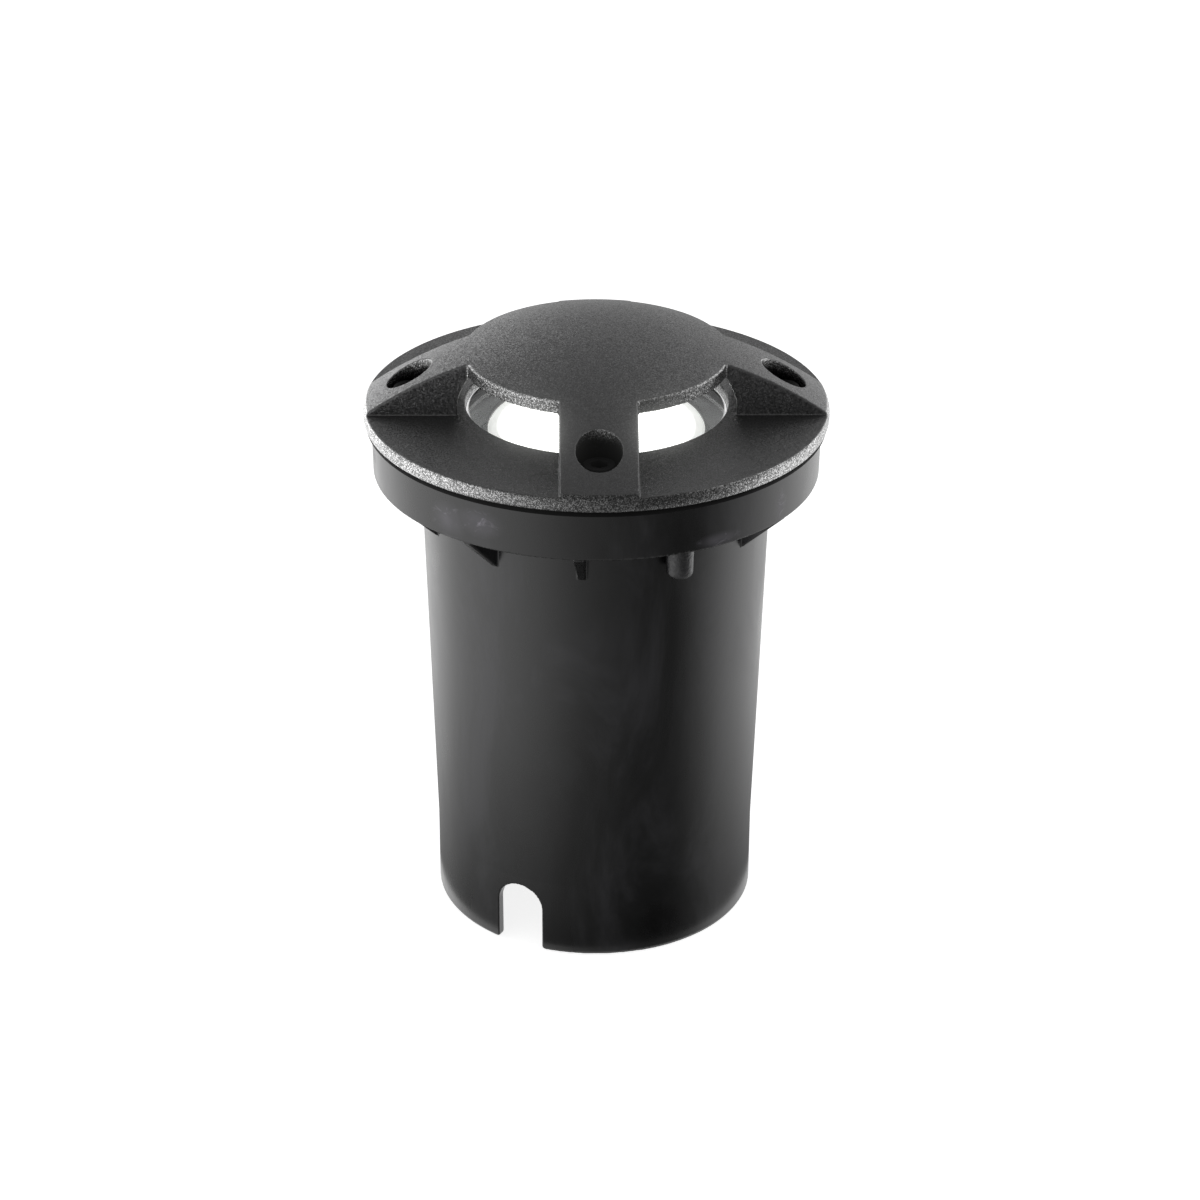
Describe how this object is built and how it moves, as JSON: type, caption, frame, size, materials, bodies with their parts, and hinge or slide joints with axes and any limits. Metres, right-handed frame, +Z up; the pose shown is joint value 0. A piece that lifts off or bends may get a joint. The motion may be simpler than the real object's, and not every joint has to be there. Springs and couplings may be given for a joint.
{
  "type": "recessed marker light",
  "caption": "Round marker light set into the ground: low domed cover with openings round its sides over a glass lens, on a black ribbed sleeve with cable slots.",
  "frame": {"origin": "centre of the sleeve's bottom rim, on the plane it stands on", "axes": "+Z up along the sleeve's axis, towards the cover; -Y towards the front leg of the cover; +X to the right"},
  "size_m": [0.12, 0.12, 0.1618],
  "materials": {
    "cover_paint": "matte",
    "cast_aluminium": "matte",
    "black_plastic": "satin",
    "clear_glass": "gloss",
    "opal_diffuser": "matte",
    "dark_ring": "satin",
    "black_rubber": "matte",
    "grey_silicone": "satin",
    "white_reflector": "gloss",
    "emitter_gel": "satin",
    "board_white": "satin",
    "pad_grey": "matte",
    "bare_aluminium": "satin",
    "driver_case": "matte",
    "terminal_plastic": "satin",
    "brown_insulation": "satin",
    "blue_insulation": "satin",
    "earth_insulation": "satin",
    "red_insulation": "satin",
    "stainless": "satin",
    "black_steel": "satin",
    "tinned_steel": "satin",
    "gland_plastic": "satin",
    "slip_plastic": "satin"
  },
  "bodies": {
    "sleeve": {"mounting_sleeve": "black_plastic"},
    "light_unit": {"lamp_housing": "cast_aluminium", "cover_seal": "black_rubber", "glass_lens": "clear_glass", "vent_plug": "gland_plastic", "gland_body": "gland_plastic", "gland_o_ring": "black_rubber", "gland_seal": "black_rubber", "lens_seal": "grey_silicone", "bezel_ring": "dark_ring", "diffuser": "opal_diffuser", "reflector_cup": "white_reflector", "led_emitter": "emitter_gel", "led_board": "board_white", "board_screws": "stainless", "thermal_pad": "pad_grey", "heat_spreader": "bare_aluminium", "spreader_screws": "stainless", "led_driver": "driver_case", "driver_screws": "stainless", "led_leads": "red_insulation", "terminal_block": "terminal_plastic", "terminal_screw": "stainless", "live_wire": "brown_insulation", "neutral_wire": "blue_insulation", "earth_wire": "earth_insulation", "earth_tag": "tinned_steel", "earth_screw": "stainless", "gland_locknut": "gland_plastic"},
    "cover": {"top_cover": "cover_paint"},
    "cover_washer_front": {"cover_washer_front": "black_steel"},
    "cover_screw_front": {"cover_screw_front": "black_steel"},
    "cover_washer_right": {"cover_washer_right": "black_steel"},
    "cover_screw_right": {"cover_screw_right": "black_steel"},
    "cover_washer_rear": {"cover_washer_rear": "black_steel"},
    "cover_screw_rear": {"cover_screw_rear": "black_steel"},
    "cover_washer_left": {"cover_washer_left": "black_steel"},
    "cover_screw_left": {"cover_screw_left": "black_steel"},
    "fixing_washer_front": {"fixing_washer_front": "stainless"},
    "fixing_screw_front": {"fixing_screw_front": "stainless"},
    "fixing_washer_rear": {"fixing_washer_rear": "stainless"},
    "fixing_screw_rear": {"fixing_screw_rear": "stainless"},
    "gland_ring": {"gland_slip_ring": "slip_plastic"},
    "gland_cap": {"gland_nut": "gland_plastic"}
  },
  "joints": [
    {"name": "unit_lift", "type": "slide", "parent": "sleeve", "child": "light_unit", "axis": [0, 0, 1], "range_m": [0, 0.12]},
    {"name": "cover_lift", "type": "slide", "parent": "light_unit", "child": "cover", "axis": [0, 0, 1], "range_m": [0, 0.05]},
    {"name": "cover_screw_front_rise", "type": "slide", "parent": "cover", "child": "cover_washer_front", "axis": [0, 0, 1], "range_m": [0, 0.008]},
    {"name": "cover_screw_front_turn", "type": "hinge", "parent": "cover_washer_front", "child": "cover_screw_front", "pos_m": [0, -0.048, 0.1408], "axis": [0, 0, 1], "range_deg": [0, 3604]},
    {"name": "cover_screw_right_rise", "type": "slide", "parent": "cover", "child": "cover_washer_right", "axis": [0, 0, 1], "range_m": [0, 0.008]},
    {"name": "cover_screw_right_turn", "type": "hinge", "parent": "cover_washer_right", "child": "cover_screw_right", "pos_m": [0.048, 0, 0.1408], "axis": [0, 0, 1], "range_deg": [0, 3604]},
    {"name": "cover_screw_rear_rise", "type": "slide", "parent": "cover", "child": "cover_washer_rear", "axis": [0, 0, 1], "range_m": [0, 0.008]},
    {"name": "cover_screw_rear_turn", "type": "hinge", "parent": "cover_washer_rear", "child": "cover_screw_rear", "pos_m": [0, 0.048, 0.1408], "axis": [0, 0, 1], "range_deg": [0, 3604]},
    {"name": "cover_screw_left_rise", "type": "slide", "parent": "cover", "child": "cover_washer_left", "axis": [0, 0, 1], "range_m": [0, 0.008]},
    {"name": "cover_screw_left_turn", "type": "hinge", "parent": "cover_washer_left", "child": "cover_screw_left", "pos_m": [-0.048, 0, 0.1408], "axis": [0, 0, 1], "range_deg": [0, 3604]},
    {"name": "fixing_screw_front_rise", "type": "slide", "parent": "light_unit", "child": "fixing_washer_front", "axis": [0, 0, 1], "range_m": [0, 0.0049]},
    {"name": "fixing_screw_front_turn", "type": "hinge", "parent": "fixing_washer_front", "child": "fixing_screw_front", "pos_m": [0.02021, -0.04519, 0.1302], "axis": [0, 0, 1], "range_deg": [0, 2524]},
    {"name": "fixing_screw_rear_rise", "type": "slide", "parent": "light_unit", "child": "fixing_washer_rear", "axis": [0, 0, 1], "range_m": [0, 0.0049]},
    {"name": "fixing_screw_rear_turn", "type": "hinge", "parent": "fixing_washer_rear", "child": "fixing_screw_rear", "pos_m": [-0.02021, 0.04519, 0.1302], "axis": [0, 0, 1], "range_deg": [0, 2524]},
    {"name": "gland_nut_fall", "type": "slide", "parent": "light_unit", "child": "gland_ring", "axis": [0, 0, -1], "range_m": [0, 0.009]},
    {"name": "gland_nut_turn", "type": "hinge", "parent": "gland_ring", "child": "gland_cap", "pos_m": [0, 0, 0.034], "axis": [0, 0, -1], "range_deg": [0, 2164]}
  ],
  "couplings": [
    {"joint": "cover_screw_front_turn", "follows": "cover_screw_front_rise", "rad_per_m": 7854},
    {"joint": "cover_screw_right_turn", "follows": "cover_screw_right_rise", "rad_per_m": 7854},
    {"joint": "cover_screw_rear_turn", "follows": "cover_screw_rear_rise", "rad_per_m": 7854},
    {"joint": "cover_screw_left_turn", "follows": "cover_screw_left_rise", "rad_per_m": 7854},
    {"joint": "fixing_screw_front_turn", "follows": "fixing_screw_front_rise", "rad_per_m": 8976},
    {"joint": "fixing_screw_rear_turn", "follows": "fixing_screw_rear_rise", "rad_per_m": 8976},
    {"joint": "gland_nut_turn", "follows": "gland_nut_fall", "rad_per_m": 4188.8}
  ]
}
